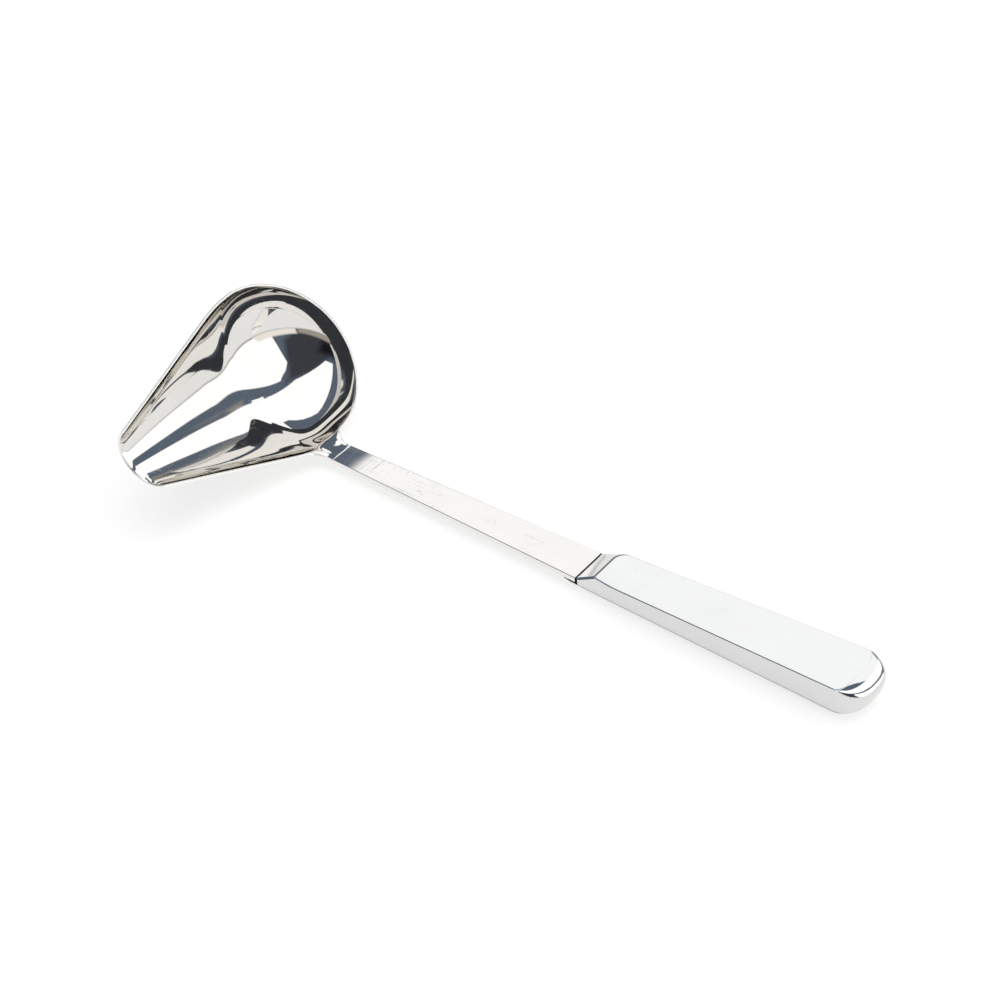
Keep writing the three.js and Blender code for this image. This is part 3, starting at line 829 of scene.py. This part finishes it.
right = Vector((math.cos(AZIMUTH), math.sin(AZIMUTH), 0))
back = Vector((math.sin(AZIMUTH) * math.cos(ELEVATION),
               -math.cos(AZIMUTH) * math.cos(ELEVATION), math.sin(ELEVATION)))
up = back.cross(right)
camera_x = right * math.cos(ROLL) + up * math.sin(ROLL)
camera_y = up * math.cos(ROLL) - right * math.sin(ROLL)
camera_data = bpy.data.cameras.new("camera")
camera_data.lens = LENS
camera_data.sensor_width = 36
camera_data.clip_start = 0.01
camera = bpy.data.objects.new("camera", camera_data)
pose = Matrix((camera_x, camera_y, back)).transposed().to_4x4()
pose.translation = AIM + back * DISTANCE
camera.matrix_world = pose
bpy.context.scene.collection.objects.link(camera)
bpy.context.scene.camera = camera

# The studio: soft boxes in a dim room. Each is a patch of sky, given by the places of its corners
# on a ceiling one unit above the ladle, as (x, y); the patches further down this list cover the
# others.

ROOM = (0.13, 0.165, 0.22)
STUDIO = [
    # corners, colour, softness of the edge
    # the lit wall behind, warm far down
    ([(-1.0, 1.5), (0.9, 2.3), (3.0, 30.0), (-30.0, 30.0)], (0.42, 0.38, 0.34), 0.05),
    ([(-0.8665, 0.885), (-0.65, 0.825), (0.7, 0.77), (0.76, 1.6), (-0.8665, 1.35)],
     (1.3, 1.31, 1.32), 0.002),
    # a pale wall low down behind
    ([(-13.0, 5.0), (-5.0, 13.0), (-50.0, 87.0), (-95.0, 30.0)], (1.25, 1.24, 1.22), 0.01),
    # the unlit side that the camera looks from
    ([(0.62, -0.15), (0.0, -1.2), (-0.6, -6.0), (-1.0, -12.0), (9.0, -9.0), (3.2, -1.8)],
     (0.055, 0.06, 0.072), 0.09),
    ([(-0.9, -2.0), (0.5, -2.0), (0.9, -6.0), (-1.4, -8.0)], (0.012, 0.012, 0.016), 0.12),
    ([(-2.0, -7.0), (6.0, -7.0), (40.0, -50.0), (-20.0, -60.0)], (0.45, 0.41, 0.36), 0.04),
    # the two soft boxes
    ([(-0.37, 0.0), (-0.37, -1.6), (0.03, -1.5), (0.52, -0.24), (0.615, 0.576), (-0.04, 0.576)],
     (1.45, 1.45, 1.45), 0.012),
    ([(-0.05, 0.5), (0.605, 0.5), (0.74, 2.4), (0.65, 3.0), (-0.05, 2.8)],
     (1.45, 1.45, 1.45), 0.012),
    ([(0.745, -0.08), (1.1, -0.46), (3.0, -1.0), (30.0, -8.0), (30.0, 60.0), (2.15, 5.0)],
     (1.45, 1.45, 1.45), 0.012),
    # pale walls low down on the side of the second box
    ([(5.0, -5.5), (7.0, -0.5), (80.0, 0.0), (80.0, -85.0)], (1.1, 1.05, 0.98), 0.03),
]
HORIZON = (0.8, 0.78, 0.75)
HORIZON_HIGH = math.sin(math.radians(1))
HORIZON_SOFTNESS = 0.03


def world_patch(nodes, direction, corners, softness):
    """A mask of a convex patch of sky with soft edges."""
    ends = [Vector((x, y, 1)).normalized() for x, y in corners]
    middle = sum(ends, Vector()) / len(ends)
    mask = None
    for end, following in zip(ends, ends[1:] + ends[:1]):
        inwards = end.cross(following).normalized()
        if inwards.dot(middle) < 0:
            inwards = -inwards
        side = nodes.add("ShaderNodeVectorMath", {0: direction, 1: inwards},
                         operation="DOT_PRODUCT")
        edge = nodes.add("ShaderNodeMapRange", {"Value": side.outputs["Value"],
                                                "From Min": -softness, "From Max": softness},
                         interpolation_type="SMOOTHSTEP")
        if mask is None:
            mask = edge.outputs["Result"]
        else:
            both = nodes.add("ShaderNodeMath", {0: mask, 1: edge.outputs["Result"]},
                             operation="MINIMUM")
            mask = both.outputs["Value"]
    return mask


class WorldNodes(Nodes):
    def __init__(self):
        world = bpy.data.worlds.new("studio")
        world.use_nodes = True
        self.tree = world.node_tree
        self.world = world
        self.background = self.tree.nodes["Background"]


def studio_world():
    nodes = WorldNodes()
    direction = nodes.add("ShaderNodeTexCoord").outputs["Generated"]
    height = nodes.add("ShaderNodeSeparateXYZ", {"Vector": direction}).outputs["Z"]
    low = nodes.add("ShaderNodeMapRange", {"Value": height,
                                           "From Min": HORIZON_HIGH + HORIZON_SOFTNESS,
                                           "From Max": HORIZON_HIGH - HORIZON_SOFTNESS},
                    interpolation_type="SMOOTHSTEP")
    colour = mix_colour(nodes, low.outputs["Result"], ROOM, HORIZON)
    for corners, patch_colour, softness in STUDIO:
        mask = world_patch(nodes, direction, corners, softness)
        colour = mix_colour(nodes, mask, colour, patch_colour)
    nodes.link(colour, nodes.background.inputs["Color"])
    bpy.context.scene.world = nodes.world


studio_world()


def soft_light(name, place, size, power):
    """A soft overhead light that the steel doesn't mirror."""
    data = bpy.data.lights.new(name, "AREA")
    data.shape = "DISK"
    data.size = size
    data.energy = power
    light = bpy.data.objects.new(name, data)
    light.location = place
    light.rotation_euler = (Vector(place) * -1).to_track_quat("-Z", "Y").to_euler()
    light.visible_glossy = False
    bpy.context.scene.collection.objects.link(light)


TOP_LIGHT_PLACE = (0.2, 0.3, 2.2)
TOP_LIGHT_SIZE = 2.4
TOP_LIGHT_POWER = 12

soft_light("top_light", TOP_LIGHT_PLACE, TOP_LIGHT_SIZE, TOP_LIGHT_POWER)

bpy.context.scene.view_settings.view_transform = "Standard"
